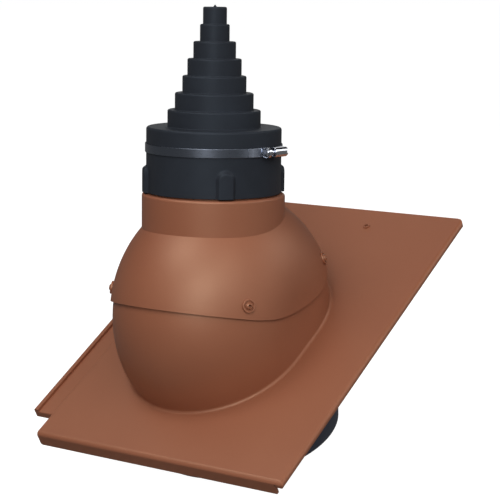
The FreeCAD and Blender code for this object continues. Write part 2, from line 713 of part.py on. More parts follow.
def make_band():
    body = new_body("clamp_band")
    inside = f"{BAND_RADIUS} - size.band_thickness"
    strip = outline(body, "band_section", "XZ_Plane", (
        (inside, "size.band_run"),
        (BAND_RADIUS, "size.band_run"),
        (BAND_RADIUS, "size.band_run + size.band_width"),
        (inside, "size.band_run + size.band_width"),
    ))
    turn(body, "Revolution", "band", strip, "V_Axis")
    tail = outline(body, "tail_section", "XZ_Plane", (
        (BAND_RADIUS, "size.band_run"),
        (f"{BAND_RADIUS} + size.band_thickness", "size.band_run"),
        (f"{BAND_RADIUS} + size.band_thickness", "size.band_run + size.band_width"),
        (BAND_RADIUS, "size.band_run + size.band_width"),
    ))
    tail.AttachmentOffset = Placement(Vector(), Rotation(Vector(0, 1, 0), -90))
    half_housing = f"atan({HOUSING_START} / {BAND_RADIUS}) / 1 deg"
    tail.setExpression("AttachmentOffset.Rotation.Angle",
                       f"size.clamp_angle - 90 - {half_housing} - size.tail_angle")
    layer = feature(body, "Revolution", "tail", tail, ReferenceAxis=(tail, ["V_Axis"]))
    layer.setExpression("Angle", "size.tail_angle")
    bind(body, Placement__Base__z=NECK_TOP)
    return body


def seat_on_band(body):
    """Clamp parts are drawn lying along Y, with Z out from the band, then stood up."""
    body.setExpression("Placement", (
        f"placement(vector({BAND_RADIUS} * sin(size.clamp_angle); "
        f"0 - {BAND_RADIUS} * cos(size.clamp_angle); "
        f"{NECK_TOP} + size.band_run + size.band_width / 2); "
        "rotation(vector(0; 0; 1); size.clamp_angle - 90) * rotation(vector(0; 1; 0); 90))"))
    return body


def make_housing():
    """Saddle and half tube that hold the worm against the band."""
    body = new_body("clamp_housing")
    shell = outline(body, "housing_section", "XZ_Plane", (
        ("0 - size.housing_radius", "0 - size.housing_wall"),
        ("size.housing_radius", "0 - size.housing_wall"),
        ("size.housing_radius", "size.housing_radius", "size.housing_radius", "left"),
        ("0", "2 * size.housing_radius", "size.housing_radius", "left"),
        ("0 - size.housing_radius", "size.housing_radius"),
    ), "size.housing_setback")
    feature(body, "Pad", "housing_block", shell, Length="size.housing_length")
    bore = circle(body, "housing_bore_section", "XZ_Plane", ("0", "size.housing_radius"),
                  "size.housing_radius - size.housing_wall")
    feature(body, "Pocket", "housing_bore", bore, SideType="Symmetric",
            Length=f"4 * {HOUSING_START}")
    curve = circle(body, "saddle_curve", "YZ_Plane", ("0", f"0 - {BAND_RADIUS}"),
                   BAND_RADIUS)
    feature(body, "Pocket", "saddle", curve, SideType="Symmetric",
            Length="4 * size.housing_radius")
    return seat_on_band(body)


def make_clamp_screw():
    """Worm, neck and a hollow guide with a blade slot at the bottom of its bore."""
    body = new_body("clamp_screw")
    worm_radius = "(size.housing_radius - size.housing_wall - size.running_gap)"
    worm_start = f"(0 - {HOUSING_START} - size.housing_wall)"
    worm_end = "(size.running_gap - size.housing_setback)"
    guide_start = f"({worm_end} + size.worm_neck_length)"
    guide_end = f"({guide_start} + size.guide_length)"
    recess = f"({guide_start} + size.guide_recess_depth)"
    bore_floor = f"({guide_end} - size.guide_bore_depth)"
    profile = outline(body, "clamp_screw_section", "XY_Plane", (
        ("0", worm_start),
        (worm_radius, worm_start),
        (worm_radius, worm_end),
        ("size.worm_neck_radius", worm_end),
        ("size.worm_neck_radius", recess),
        ("size.guide_recess_radius", recess),
        ("size.guide_recess_radius", guide_start),
        ("size.guide_radius", guide_start),
        ("size.guide_radius", guide_end),
        ("size.guide_bore_radius", guide_end),
        ("size.guide_bore_radius", bore_floor),
        ("0", bore_floor),
    ), "size.housing_radius")
    turn(body, "Revolution", "clamp_screw_form", profile, "V_Axis")
    reach = "size.guide_radius + size.notch_width"
    cuts = (
        ("level_notch", guide_end, reach, "size.notch_width / 2", "size.notch_depth"),
        ("upright_notch", guide_end, "size.notch_width / 2", reach, "size.notch_depth"),
        ("blade_slot", bore_floor, "size.guide_bore_radius", "size.blade_slot_width / 2",
         "size.blade_slot_depth"),
    )
    for name, run, half_width, half_height, depth in cuts:
        slot = rectangle(body, f"{name}_section", "XZ_Plane",
                         (f"0 - ({half_width})", f"size.housing_radius - ({half_height})"),
                         (half_width, f"size.housing_radius + {half_height}"), f"0 - {run}")
        feature(body, "Pocket", name, slot, Length=depth, Reversed=True)
    return seat_on_band(body)


moulding = make_tile()
parts = [
    finish_tile(moulding),
    make_hood(),
    make_group("hood_screws", [make_screw(place, side, end)
                               for place, (side, end) in enumerate(SCREWS, start=1)]),
    make_group("sealing_washers", [make_washer(place, side, end)
                                   for place, (side, end) in enumerate(SCREWS, start=1)]),
    make_boot(),
    make_band(),
    make_housing(),
    make_clamp_screw(),
    make_collar(),
]
doc.recompute()

for item in doc.Objects:
    if "Invalid" in item.State or "Error" in item.State:
        raise RuntimeError(f"{item.Name} failed: {item.State}")
for part in parts:
    if part.Shape.isNull() or not part.Shape.isValid():
        raise RuntimeError(f"{part.Label} has no valid shape")

os.makedirs("parts", exist_ok=True)
for part in parts:
    part.Shape.exportStep(f"parts/{part.Label}.step")
    box = part.Shape.BoundBox
    print(f"{part.Label}: {len(part.Shape.Solids)} solid(s), {part.Shape.Volume / 1000:.1f} cm3, "
          f"z {box.ZMin:.1f} to {box.ZMax:.1f}")
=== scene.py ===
# %% [markdown]
# # An antenna roof tile
#
# A flat interlocking tile of terracotta plastic carries a dome, and a hood is screwed over the
# dome. A mast comes up through both. A stepped rubber boot seals it, and a steel clamp with a
# worm screw holds the boot on the hood's neck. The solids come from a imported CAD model, which
# stays fixed: this file finishes their surfaces, makes the small pieces in full detail, and
# gives a copy of the tile finer rounds.

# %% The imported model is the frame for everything
import json
import math

import bmesh
import bpy
import numpy as np
from mathutils import Matrix, Vector

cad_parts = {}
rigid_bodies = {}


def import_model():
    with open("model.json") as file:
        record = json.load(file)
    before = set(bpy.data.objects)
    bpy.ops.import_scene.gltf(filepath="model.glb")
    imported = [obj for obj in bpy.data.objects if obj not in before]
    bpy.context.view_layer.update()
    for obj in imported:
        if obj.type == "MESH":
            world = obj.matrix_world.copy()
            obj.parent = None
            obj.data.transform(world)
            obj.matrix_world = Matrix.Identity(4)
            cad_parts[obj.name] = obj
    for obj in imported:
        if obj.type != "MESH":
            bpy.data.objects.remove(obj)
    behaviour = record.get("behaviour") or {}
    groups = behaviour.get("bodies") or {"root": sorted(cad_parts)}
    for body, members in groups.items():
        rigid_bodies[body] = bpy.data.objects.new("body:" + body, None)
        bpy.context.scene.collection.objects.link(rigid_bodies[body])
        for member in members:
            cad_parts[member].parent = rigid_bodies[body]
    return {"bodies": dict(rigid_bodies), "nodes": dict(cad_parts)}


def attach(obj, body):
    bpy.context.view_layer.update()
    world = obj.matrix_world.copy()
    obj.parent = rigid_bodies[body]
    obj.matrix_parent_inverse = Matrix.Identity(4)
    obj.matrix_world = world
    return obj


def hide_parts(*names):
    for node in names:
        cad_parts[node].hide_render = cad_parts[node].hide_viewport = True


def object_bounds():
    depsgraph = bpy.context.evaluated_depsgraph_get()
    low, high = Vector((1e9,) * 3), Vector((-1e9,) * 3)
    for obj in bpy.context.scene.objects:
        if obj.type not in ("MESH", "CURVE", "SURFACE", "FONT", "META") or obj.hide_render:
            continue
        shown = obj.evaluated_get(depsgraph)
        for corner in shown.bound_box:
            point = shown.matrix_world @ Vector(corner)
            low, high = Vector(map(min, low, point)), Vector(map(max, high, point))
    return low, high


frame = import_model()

MM = 0.001
BODY = next(iter(frame["bodies"]))
cad_low, cad_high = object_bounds()
print("the solids' box, in mm:", [round((b - a) / MM, 1) for a, b in zip(cad_low, cad_high)])

# %% [markdown]
# ## The camera
#
# The view is a long lens from the front right, a little above the dome. A camera in Blender
# looks along its own -Z, so it is first stood up, then tipped down, turned to its heading, and
# last rolled about its own axis. Setting the turn as a product of three plain rotations keeps
# each of those angles a number that can be read.

# %% Camera
CAMERA_PLACE = Vector((0.9802, -1.3989, 0.3838))
CAMERA_HEADING = math.radians(33.72)
CAMERA_DIP = math.radians(8.92)
CAMERA_ROLL = math.radians(0.70)
LENS_MM = 119.09
SENSOR_MM = 36
NEAREST_SEEN = 0.05
FARTHEST_SEEN = 1000

lens = bpy.data.cameras.new("camera")
lens.lens = LENS_MM
lens.sensor_width = SENSOR_MM
lens.clip_start = NEAREST_SEEN
lens.clip_end = FARTHEST_SEEN
camera = bpy.data.objects.new("camera", lens)
turned = (Matrix.Rotation(CAMERA_HEADING, 4, "Z")
          @ Matrix.Rotation(math.pi / 2 - CAMERA_DIP, 4, "X")
          @ Matrix.Rotation(CAMERA_ROLL, 4, "Z"))
camera.matrix_world = Matrix.Translation(CAMERA_PLACE) @ turned
bpy.context.scene.collection.objects.link(camera)
bpy.context.scene.camera = camera
print("the camera is", round(CAMERA_PLACE.length, 2), "m from the origin")

# %% [markdown]
# ## Shader maths as plain Python
#
# Node trees are tiring to write by hand. A small class wraps one socket, and each arithmetic
# sign used on it adds a Math node, so a mask can be written as 1 - mask. Every other node comes
# from one method, make, which sets the node up and then fills its sockets.

# %% A wire that can be added, subtracted and multiplied
MIXED_COLOUR = 2


class Wire:
    """One socket of a node tree. Arithmetic on it adds Math nodes to the tree."""

    def __init__(self, tree, socket=None):
        self.tree = tree
        self.socket = socket

    def make(self, kind, settings=None, sockets=None, out=0):
        """A new node: its settings first, then a value or a wire for each of its sockets."""
        node = self.tree.nodes.new(kind)
        for key, value in (settings or {}).items():
            setattr(node, key, value)
        for key, value in (sockets or {}).items():
            if isinstance(value, Wire):
                self.tree.links.new(value.socket, node.inputs[key])
            else:
                node.inputs[key].default_value = value
        return Wire(self.tree, node.outputs[out])

    def math(self, operation, *values):
        """A Math node: its operation, on values or wires."""
        return self.make("ShaderNodeMath", {"operation": operation}, dict(enumerate(values)))

    def __add__(self, other):
        return self.math("ADD", self, other)

    def __sub__(self, other):
        return self.math("SUBTRACT", self, other)

    def __rsub__(self, other):
        return self.math("SUBTRACT", other, self)

    def __mul__(self, other):
        return self.math("MULTIPLY", self, other)

    __radd__ = __add__
    __rmul__ = __mul__

    def noise(self, scale, detail=2.0, roughness=0.5):
        """Noise about 0, roughly from -0.5 to 0.5, with scale features to the metre."""
        made = self.make("ShaderNodeTexNoise", None, {
            "Vector": self, "Scale": scale, "Detail": detail, "Roughness": roughness})
        return made - 0.5

    def stretched(self, x, y, z):
        """The same coordinates, drawn out or squeezed along each axis."""
        return self.make("ShaderNodeMapping", None, {"Vector": self, "Scale": (x, y, z)})

    def blended(self, first, second):
        """A colour that goes from first to second as this wire goes from 0 to 1."""
        return self.make("ShaderNodeMix", {"data_type": "RGBA"},
                         {"Factor": self, "A": (*first, 1), "B": (*second, 1)},
                         out=MIXED_COLOUR)


# %% Colours are given as they look on a screen
SCREEN_TOP = 255
CURVE_START = 0.04045
CURVE_SLOPE = 12.92
CURVE_OFFSET = 0.055
CURVE_POWER = 2.4


def from_screen(red, green, blue):
    """Screen colours from 0 to 255, made linear with the standard curve: a straight start and
    then a power."""
    levels = np.array([red, green, blue]) / SCREEN_TOP
    straight = levels / CURVE_SLOPE
    curved = ((levels + CURVE_OFFSET) / (1 + CURVE_OFFSET)) ** CURVE_POWER
    return tuple(float(level) for level in np.where(levels <= CURVE_START, straight, curved))


def start_material(name):
    """An empty material with its shader and its Object coordinates."""
    material = bpy.data.materials.new(name)
    material.use_nodes = True
    tree = material.node_tree
    tree.nodes.clear()
    shader = tree.nodes.new("ShaderNodeBsdfPrincipled")
    finish = tree.nodes.new("ShaderNodeOutputMaterial")
    tree.links.new(shader.outputs[0], finish.inputs[0])
    place = Wire(tree).make("ShaderNodeTexCoord", out="Object")
    return material, shader, place


def plug(shader, values):
    """Fill a shader's sockets with plain values or wires."""
    for key, value in values.items():
        if isinstance(value, Wire):
            value.tree.links.new(value.socket, shader.inputs[key])
        else:
            shader.inputs[key].default_value = value


def bumped(height, distance):
    """A normal that tilts as if the surface rose by height times distance."""
    return height.make("ShaderNodeBump", None, {"Height": height, "Distance": distance})


# %% [markdown]
# ## Terracotta plastic
#
# The tile and the hood are injection moulded and coloured through, with a fine spark-eroded
# grain that comes off the mould. A photograph of the grain could be wrapped round them, but
# both are curved every way and the wrap would show seams. Noise in Object coordinates has no
# seam. Four sizes of it are used: a broad drift in tone, pigment specks, a slight peel of the
# skin, and the grain. The last two go to the bump and not to the colour. The gloss is tinted
# warm, because a neutral one makes the plastic look grey where light grazes it.

# %% Moulded plastic
CLAY = from_screen(150, 93, 68)
CLAY_DEEP = from_screen(138, 82, 59)
CLAY_GLOSS = (1.0, 0.74, 0.52, 1)
CLAY_GLOSS_LEVEL = 1.0
DRIFT_SCALE = 9
SPECK_SCALE = 900
PEEL_SCALE = 140
GRAIN_SCALE = 1900
GRAIN_ROUGHNESS = 0.6
DRIFT_TONE = 0.9
SPECK_TONE = 0.5
DRIFT_DULLING = 0.08
SPECK_DULLING = 0.05
PEEL_SHARE = 1.5
GRAIN_HEIGHT = 0.00003


def moulded_plastic(name, roughness):
    """Plastic whose tone is a half plus shares of the drift and the specks. Both also change
    its roughness a little. The height for its bump is the grain plus a share of the peel."""
    material, shader, place = start_material(name)
    drift = place.noise(DRIFT_SCALE, detail=3)
    specks = place.noise(SPECK_SCALE, detail=1)
    grain = place.noise(GRAIN_SCALE, detail=2, roughness=GRAIN_ROUGHNESS)
    peel = place.noise(PEEL_SCALE, detail=1)
    tone = 0.5 + drift * DRIFT_TONE + specks * SPECK_TONE
    plug(shader, {
        "Base Color": tone.blended(CLAY_DEEP, CLAY),
        "Roughness": roughness + drift * DRIFT_DULLING + specks * SPECK_DULLING,
        "Normal": bumped(grain + peel * PEEL_SHARE, GRAIN_HEIGHT),
        "Specular IOR Level": CLAY_GLOSS_LEVEL,
        "Specular Tint": CLAY_GLOSS,
    })
    return material


tile_plastic = moulded_plastic("terracotta_tile", roughness=0.46)
hood_plastic = moulded_plastic("terracotta_hood", roughness=0.48)
print("plastics:", tile_plastic.name, hood_plastic.name)

# %% [markdown]
# ## Rubber
#
# The boot and the collar are black rubber with a bluish cast. Rubber has a weak, broad gloss,
# so its gloss level is low, its roughness drifts a little, and the gloss is tinted blue. A faint
# bloom lifts its tone in patches. The collar is a greyer mix than the boot.

# %% Black rubber
RUBBER = from_screen(36, 38, 43)
RUBBER_BLOOM = from_screen(46, 50, 57)
COLLAR = from_screen(62, 64, 72)
COLLAR_BLOOM = from_screen(78, 80, 91)
RUBBER_GLOSS = (0.69, 0.84, 1.0, 1)
RUBBER_GLOSS_LEVEL = 0.2
RUBBER_ROUGHNESS = 0.5
BLOOM_SCALE = 22
BLOOM_TONE = 1.2
BLOOM_DULLING = 0.1
SKIN_SCALE = 1300
SKIN_HEIGHT = 0.00003


def rubber(name, low, high):
    """Rubber whose tone is a half plus a share of the bloom. The skin is the bump's height."""
    material, shader, place = start_material(name)
    bloom = place.noise(BLOOM_SCALE, detail=3)
    skin = place.noise(SKIN_SCALE)
    plug(shader, {
        "Base Color": (0.5 + bloom * BLOOM_TONE).blended(low, high),
        "Roughness": RUBBER_ROUGHNESS + bloom * BLOOM_DULLING,
        "Normal": bumped(skin, SKIN_HEIGHT),
        "Specular IOR Level": RUBBER_GLOSS_LEVEL,
        "Specular Tint": RUBBER_GLOSS,
    })
    return material


boot_rubber = rubber("boot_rubber", RUBBER, RUBBER_BLOOM)
collar_rubber = rubber("collar_rubber", COLLAR, COLLAR_BLOOM)
print("rubbers:", boot_rubber.name, collar_rubber.name)

# %% [markdown]
# ## Steel and painted steel
#
# The clamp is cold-rolled stainless strip. Rolling leaves fine streaks along the band, so the
# noise for its roughness is drawn out level, round the neck, and stays fine along Z. The loose
# end is the same strip as the band but gets a lighter colour, which is a painted highlight. The
# housing and its screw are brighter and smoother still. The hood's screws and their washers are
# painted in the tile's colour.

# %% Metals
STEEL = from_screen(126, 133, 146)
# The loose end's lighter steel is a painted highlight: it is the band's own strip, made lighter.
TAIL_STEEL_PAINTED_HIGHLIGHT = from_screen(172, 180, 196)
BRIGHT_STEEL = from_screen(214, 217, 224)
STREAK_STRETCH = (0.06, 0.06, 1)
STREAK_SCALE = 2600
STREAK_DULLING = 0.05


def rolled_steel(name, colour, roughness):
    """Steel of one colour, whose roughness is its own value plus a share of the streaks."""
    material, shader, place = start_material(name)
    streaks = place.stretched(*STREAK_STRETCH).noise(STREAK_SCALE)
    plug(shader, {
        "Base Color": (*colour, 1),
        "Metallic": 1.0,
        "Roughness": roughness + streaks * STREAK_DULLING,
    })
    return material


clamp_steel = rolled_steel("rolled_stainless", STEEL, roughness=0.28)
# A lighter copy of the band's steel for the loose end, which is a painted highlight.
tail_steel_painted_highlight = rolled_steel("tail_stainless_painted_highlight", TAIL_STEEL_PAINTED_HIGHLIGHT, roughness=0.28)
bright_steel = rolled_steel("bright_stainless", BRIGHT_STEEL, roughness=0.15)
screw_paint = moulded_plastic("painted_screw", roughness=0.34)
washer_paint = moulded_plastic("painted_washer", roughness=0.4)
print("steels:", clamp_steel.name, tail_steel_painted_highlight.name, bright_steel.name)
print("paints:", screw_paint.name, washer_paint.name)

# %% Give each solid its finish
FINISHES = {
    "tile": tile_plastic,
    "hood": hood_plastic,
    "hood_screws": screw_paint,
    "sealing_washers": washer_paint,
    "stepped_boot": boot_rubber,
    "clamp_band": clamp_steel,
    "clamp_housing": bright_steel,
    "clamp_screw": bright_steel,
    "underlay_collar": collar_rubber,
}
for node, finish in FINISHES.items():
    solid = frame["nodes"][node].data
    solid.materials.clear()
    solid.materials.append(finish)
print("finished", len(FINISHES), "solids")

# %% [markdown]
# ## Surfaces woven through grids of points
#
# Each small piece is a surface whose points come straight from a formula, worked out by numpy
# for all rows and columns at once. Modelling tools such as a bevel modifier could round the
# same corners, but a formula says where each radius is and gives the same mesh on every run.
# A profile is drawn as a few real corners with a radius each. Close to every round it gets a
# support point, so that the flat beside it stays flat when the shading is smoothed.

# %% A path with rounded corners
ROUND_STEPS = 6
SUPPORT = 0.35
SUPPORT_SHARE = 1 / 3

# Rounds that small edges share, from a barely broken edge to a full one.
HAIR = 0.1
FINE = 0.2
SMALL = 0.3
SOFT = 0.4
MIDDLE = 0.5
FULL = 0.6


def rounded(corners, closed=False):
    """A path through corners (x, y, radius), in millimetres. A corner turns by an arc that
    touches both of its sides: the arc's centre lies on the bisector, at the radius divided by
    the sine of half the angle between the sides."""
    path = []
    for place, (x, y, radius) in enumerate(corners):
        corner = np.array((x, y))
        if radius == 0 or (not closed and place in (0, len(corners) - 1)):
            path.append(corner[None])
            continue
        before = np.array(corners[place - 1][:2]) - corner
        after = np.array(corners[(place + 1) % len(corners)][:2]) - corner
        before_side = before / np.linalg.norm(before)
        after_side = after / np.linalg.norm(after)
        half = math.acos(np.clip(before_side @ after_side, -1, 1)) / 2
        bisector = (before_side + after_side) / np.linalg.norm(before_side + after_side)
        reach = radius / math.tan(half)
        centre = corner + bisector * radius / math.sin(half)
        first = corner + before_side * reach - centre
        last = corner + after_side * reach - centre
        turn = math.pi - 2 * half
        share = np.linspace(0, 1, ROUND_STEPS + 1)[:, None]
        arc = (np.sin((1 - share) * turn) * first + np.sin(share * turn) * last) / math.sin(turn)
        leads = [min(SUPPORT, (np.linalg.norm(side) - reach) * SUPPORT_SHARE)
                 for side in (before, after)]
        path += [(centre + first + before_side * leads[0])[None], centre + arc,
                 (centre + last + after_side * leads[1])[None]]
    return np.vstack(path)


# %% Turned profiles
def lathed(profile, turns):
    """Points of a profile (radius, height) turned about Z: rows follow the profile and columns
    follow the angles given, so a point is (radius cos angle, radius sin angle, height)."""
    radius, height = profile[:, 0][:, None], profile[:, 1][:, None]
    level = np.broadcast_to(height, (len(profile), len(turns)))
    return np.stack([radius * np.cos(turns), radius * np.sin(turns), level], axis=-1)


def even_turns(count):
    """Angles all the way round, without the last, which would repeat the first."""
    return np.linspace(0, 2 * math.pi, count, endpoint=False)


# %% Merged points
MERGED_WITHIN = MM / 1000


def merge_doubles(shape, turn_out=False):
    """Join points that fall together, and where asked turn every face outwards."""
    joined = bmesh.new()
    joined.from_mesh(shape)
    bmesh.ops.remove_doubles(joined, verts=joined.verts, dist=MERGED_WITHIN)
    if turn_out:
        bmesh.ops.recalc_face_normals(joined, faces=joined.faces)
    joined.to_mesh(shape)
    joined.free()


# %% A piece in the frame
def set_in_frame(name, shape, nodes):
    """One piece from a finished mesh: it rides on the body and stands for the solids named."""
    piece = bpy.data.objects.new(name, shape)
    bpy.context.scene.collection.objects.link(piece)
    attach(piece, BODY)
    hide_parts(*nodes)
    print(name, "has", len(shape.polygons), "faces")


# %% A woven piece
SHARP_ANGLE = math.radians(40)


def woven(name, grids, finish, nodes, wrap_rows=False, wrap_columns=True):
    """One piece from grids of points in millimetres, each rows by columns by three. Every
    point is joined to its neighbours, and a wrapped side closes on itself. Points that fall
    together, as at a pole, are merged."""
    points, faces, count = [], [], 0
    for grid in grids:
        rows, columns = grid.shape[:2]
        index = np.arange(rows * columns).reshape(rows, columns) + count
        if wrap_rows:
            index = np.vstack([index, index[:1]])
        if wrap_columns:
            index = np.hstack([index, index[:, :1]])
        faces.append(np.stack([index[:-1, :-1], index[:-1, 1:], index[1:, 1:], index[1:, :-1]],
                              axis=-1).reshape(-1, 4))
        points.append(grid.reshape(-1, 3))
        count += rows * columns
    shape = bpy.data.meshes.new(name)
    shape.from_pydata(np.vstack(points) * MM, [], np.vstack(faces))
    merge_doubles(shape, turn_out=True)
    shape.shade_smooth()
    shape.set_sharp_from_angle(angle=SHARP_ANGLE)
    shape.materials.append(finish)
    set_in_frame(name, shape, nodes)


# %% [markdown]
# ## The dome's foot
#
# The round where the dome meets the plate is finer on the real tile than on the solid. A bevel
# can't narrow a round that is already in the mesh. But a round that touches two surfaces keeps
# its shape, and all its normals, when it shrinks towards the corner where they would meet. So
# a copy of the tile's mesh is taken, and each point of the round is drawn to its own corner.
# That corner lies on both surfaces, straight across from the point. Newton's method finds it:
# three conditions, two for the surfaces and one for straight across, give three equations.

# %% The plate and the dome as formulas
ROOF_PITCH = math.radians(30)
PLATE_NORMAL = np.array((0, -math.sin(ROOF_PITCH), math.cos(ROOF_PITCH)))
NECK_OFFSET = 19.4
AXIS_OVER_PLATE = 31
THOUSANDTHS = 3
axis_height = (AXIS_OVER_PLATE + NECK_OFFSET * math.sin(ROOF_PITCH)) / math.cos(ROOF_PITCH)
AXIS_HEIGHT = round(axis_height, THOUSANDTHS)
DOME_AXIS = np.array((0, NECK_OFFSET, AXIS_HEIGHT))
DOME_RING = 31.5
DOME_RADIUS = 97.2


def above_dome(points):
    """The dome's normal under each point, and the point's height over the dome. The dome is a
    circle carried round a ring, so its centre for a point is the nearest spot on that ring."""
    arm = points - DOME_AXIS
    reach = np.hypot(arm[:, 1], arm[:, 2])
    share = 1 - DOME_RING / reach
    outward = np.column_stack([arm[:, 0], share * arm[:, 1], share * arm[:, 2]])
    distance = np.linalg.norm(outward, axis=1)
    return outward / distance[:, None], distance - DOME_RADIUS


print("the dome's level axis is", AXIS_HEIGHT, "mm over the origin")

# %% The corners of the foot's round
NEWTON_STEPS = 20


def foot_corners(points):
    """For each point near the foot, the corner of plate and dome straight across from it."""
    corner = points.copy()
    for _ in range(NEWTON_STEPS):
        normal, height = above_dome(corner)
        along = np.cross(PLATE_NORMAL, normal)
        along /= np.linalg.norm(along, axis=1)[:, None]
        plate = np.broadcast_to(PLATE_NORMAL, corner.shape)
        across = ((points - corner) * along).sum(axis=1)
        wanted = np.column_stack([-(corner @ PLATE_NORMAL), -height, across])
        equations = np.stack([plate, normal, along], axis=1)
        corner = corner + np.linalg.solve(equations, wanted[..., None])[..., 0]
    return corner


# %% Draw the foot's round in
FOOT_ROUND = 6.0
FINER_FOOT = 3.0
FOOT_REACH = 8.0
TOUCH_SPARE = 1.05
TOUCH_MARGIN = 0.1
NEAR = 0.05


def with_finer_foot(points):
    """The points with those of the foot's round drawn in. A round between two surfaces touches
    them at its radius times the tangent of half the angle between their normals."""
    over_plate = points @ PLATE_NORMAL
    over_dome = above_dome(points)[1]
    nearby = ((over_plate > -NEAR) & (over_plate < FOOT_REACH)
              & (over_dome > -NEAR) & (over_dome < FOOT_REACH))
    corner = foot_corners(points[nearby])
    lean = np.arccos(np.clip(above_dome(corner)[0] @ PLATE_NORMAL, -1, 1))
    touch = FOOT_ROUND * np.tan(lean / 2)
    from_corner = points[nearby] - corner
    on_round = np.linalg.norm(from_corner, axis=1) < touch * TOUCH_SPARE + TOUCH_MARGIN
    drawn_in = corner + from_corner * FINER_FOOT / FOOT_ROUND
    changed = points.copy()
    changed[nearby] = np.where(on_round[:, None], drawn_in, points[nearby])
    print("points of the foot's round:", int(on_round.sum()))
    return changed


solid = frame["nodes"]["tile"].data
points = np.empty(len(solid.vertices) * 3)
solid.vertices.foreach_get("co", points)
points = with_finer_foot(points.reshape(-1, 3) / MM)

# %% [markdown]
# ## The tile's front and right edges
#
# These two edges are crisper on the real tile as well. Both run straight, so a finer round is
# a matter of sections: each point keeps its depth below the plate's top and slides level, out
# to where the finer section lies at that depth. A point on both edges slides twice and stays
# on both. The rear corner is an upright cylinder, so a point on it slides round that as well.
# Last, the normals are turned from the old section's to the new one's.

# %% The front edge, in depth below the plate's top and run down the roof
FALL = np.array((0, -PLATE_NORMAL[2], PLATE_NORMAL[1]))
EDGE_ROUND = 7.5
FRONT_ROUND = 4.5
BRIM_ROUND = 1.4

side = points[:, 0]
depth = -(points @ PLATE_NORMAL)
run = points @ FALL
front_end, rear_end = run.max(), run.min()
from_top = EDGE_ROUND - depth
from_front = EDGE_ROUND - (front_end - run)
# A point lies at an angle and at a depth inside the old round. The new angle is the one that
# has the same depth below the top, and the depth inside the round is kept.
turn = np.arctan2(from_front, from_top)
inset = EDGE_ROUND - np.hypot(from_front, from_top)
arc_depth = EDGE_ROUND * (1 - np.cos(turn))
finer_turn = np.arccos(np.clip(1 - arc_depth / FRONT_ROUND, 0, 1))
finer_depth = arc_depth + inset * np.cos(finer_turn)
finer_run = front_end - FRONT_ROUND * (1 - np.sin(finer_turn)) - inset * np.sin(finer_turn)
on_front = ((depth > -NEAR) & (from_top > -NEAR) & (from_front > -NEAR)
            & (inset > -NEAR) & (inset < BRIM_ROUND + NEAR))
print("points of the front edge:", int(on_front.sum()))

# %% The right edge, where a large round from the top runs into a small one
RIGHT_EDGE = 172.0
RIGHT_ROUND = 4.0
LIP_DROP = 6.9
LIP_ROUND = 2.2
REAR_CORNER = 8.0

small_middle = RIGHT_EDGE - LIP_ROUND
small_depth = LIP_DROP - LIP_ROUND
meeting_up = (EDGE_ROUND - small_depth) / (EDGE_ROUND - LIP_ROUND)
large_middle = small_middle - (EDGE_ROUND - LIP_ROUND) * math.sqrt(1 - meeting_up ** 2)
on_large = depth < EDGE_ROUND * (1 - meeting_up)
old_up = np.where(on_large, 1 - depth / EDGE_ROUND, (small_depth - depth) / LIP_ROUND)
old_up = np.clip(old_up, -1, 1)
old_out = np.sqrt(1 - old_up ** 2)
old_side = np.where(on_large, large_middle + EDGE_ROUND * old_out,
                    small_middle + LIP_ROUND * old_out)
new_up = np.clip(1 - depth / RIGHT_ROUND, 0, 1)
new_out = np.sqrt(1 - new_up ** 2)
on_right = (depth > -NEAR) & (depth < small_depth + NEAR) & (np.abs(side - old_side) < NEAR)
print("points of the right edge:", int(on_right.sum()))

# %% Slide the points
corner_middle = RIGHT_EDGE - REAR_CORNER
past_middle = REAR_CORNER - (run - rear_end)
from_middle = np.hypot(side - corner_middle, past_middle)
on_corner = on_right & (past_middle > 0) & (np.abs(from_middle - REAR_CORNER) < NEAR)
side = np.where(on_right, RIGHT_EDGE - RIGHT_ROUND * (1 - new_out), side)
corner_side = np.clip(side - corner_middle, 0, REAR_CORNER)
corner_run = rear_end + REAR_CORNER - np.sqrt(REAR_CORNER ** 2 - corner_side ** 2)
run = np.where(on_front, finer_run, np.where(on_corner, corner_run, run))
depth = np.where(on_front, finer_depth, depth)
print("points on the rear corner:", int(on_corner.sum()))

# %% Turn the normals
MATCH = 0.02

normals = np.empty(len(solid.loops) * 3)
solid.corner_normals.foreach_get("vector", normals)
normals = normals.reshape(-1, 3)
owner = np.empty(len(solid.loops), dtype=int)
solid.loops.foreach_get("vertex_index", owner)
# A normal is split into its parts to the right, up from the plate and down the roof.
right, up, fall = normals[:, 0], normals @ PLATE_NORMAL, normals @ FALL
outward = up * np.cos(turn[owner]) + fall * np.sin(turn[owner])
askew = fall * np.cos(turn[owner]) - up * np.sin(turn[owner])
turns_front = on_front[owner] & (np.abs(askew) < MATCH) & (outward > MATCH)
agreement = right * old_out[owner] + up * old_up[owner]
turns_right = on_right[owner] & (agreement > 1 - MATCH) & ~turns_front
right = np.where(turns_right, new_out[owner], right)
up = np.where(turns_right, new_up[owner], up)
up = np.where(turns_front, outward * np.cos(finer_turn[owner]), up)
fall = np.where(turns_front, outward * np.sin(finer_turn[owner]), fall)
print("normals turned at the front and the right:", turns_front.sum(), turns_right.sum())

# %% The tile's moulding
TO_RIGHT = np.array((1, 0, 0))


def joined_parts(to_right, up, fall):
    """Vectors from their parts along the three directions of the plate."""
    return to_right[:, None] * TO_RIGHT + up[:, None] * PLATE_NORMAL + fall[:, None] * FALL


moulding = solid.copy()
moulding.name = "tile_moulding"
moulding.vertices.foreach_set("co", joined_parts(side, -depth, run).ravel() * MM)
merge_doubles(moulding)
moulding.normals_split_custom_set(joined_parts(right, up, fall).tolist())
print("the tile's points are merged from", len(solid.vertices), "to", len(moulding.vertices),
      "and it keeps", len(moulding.loops), "of", len(solid.loops), "corners")
set_in_frame("tile_moulding", moulding, ["tile"])

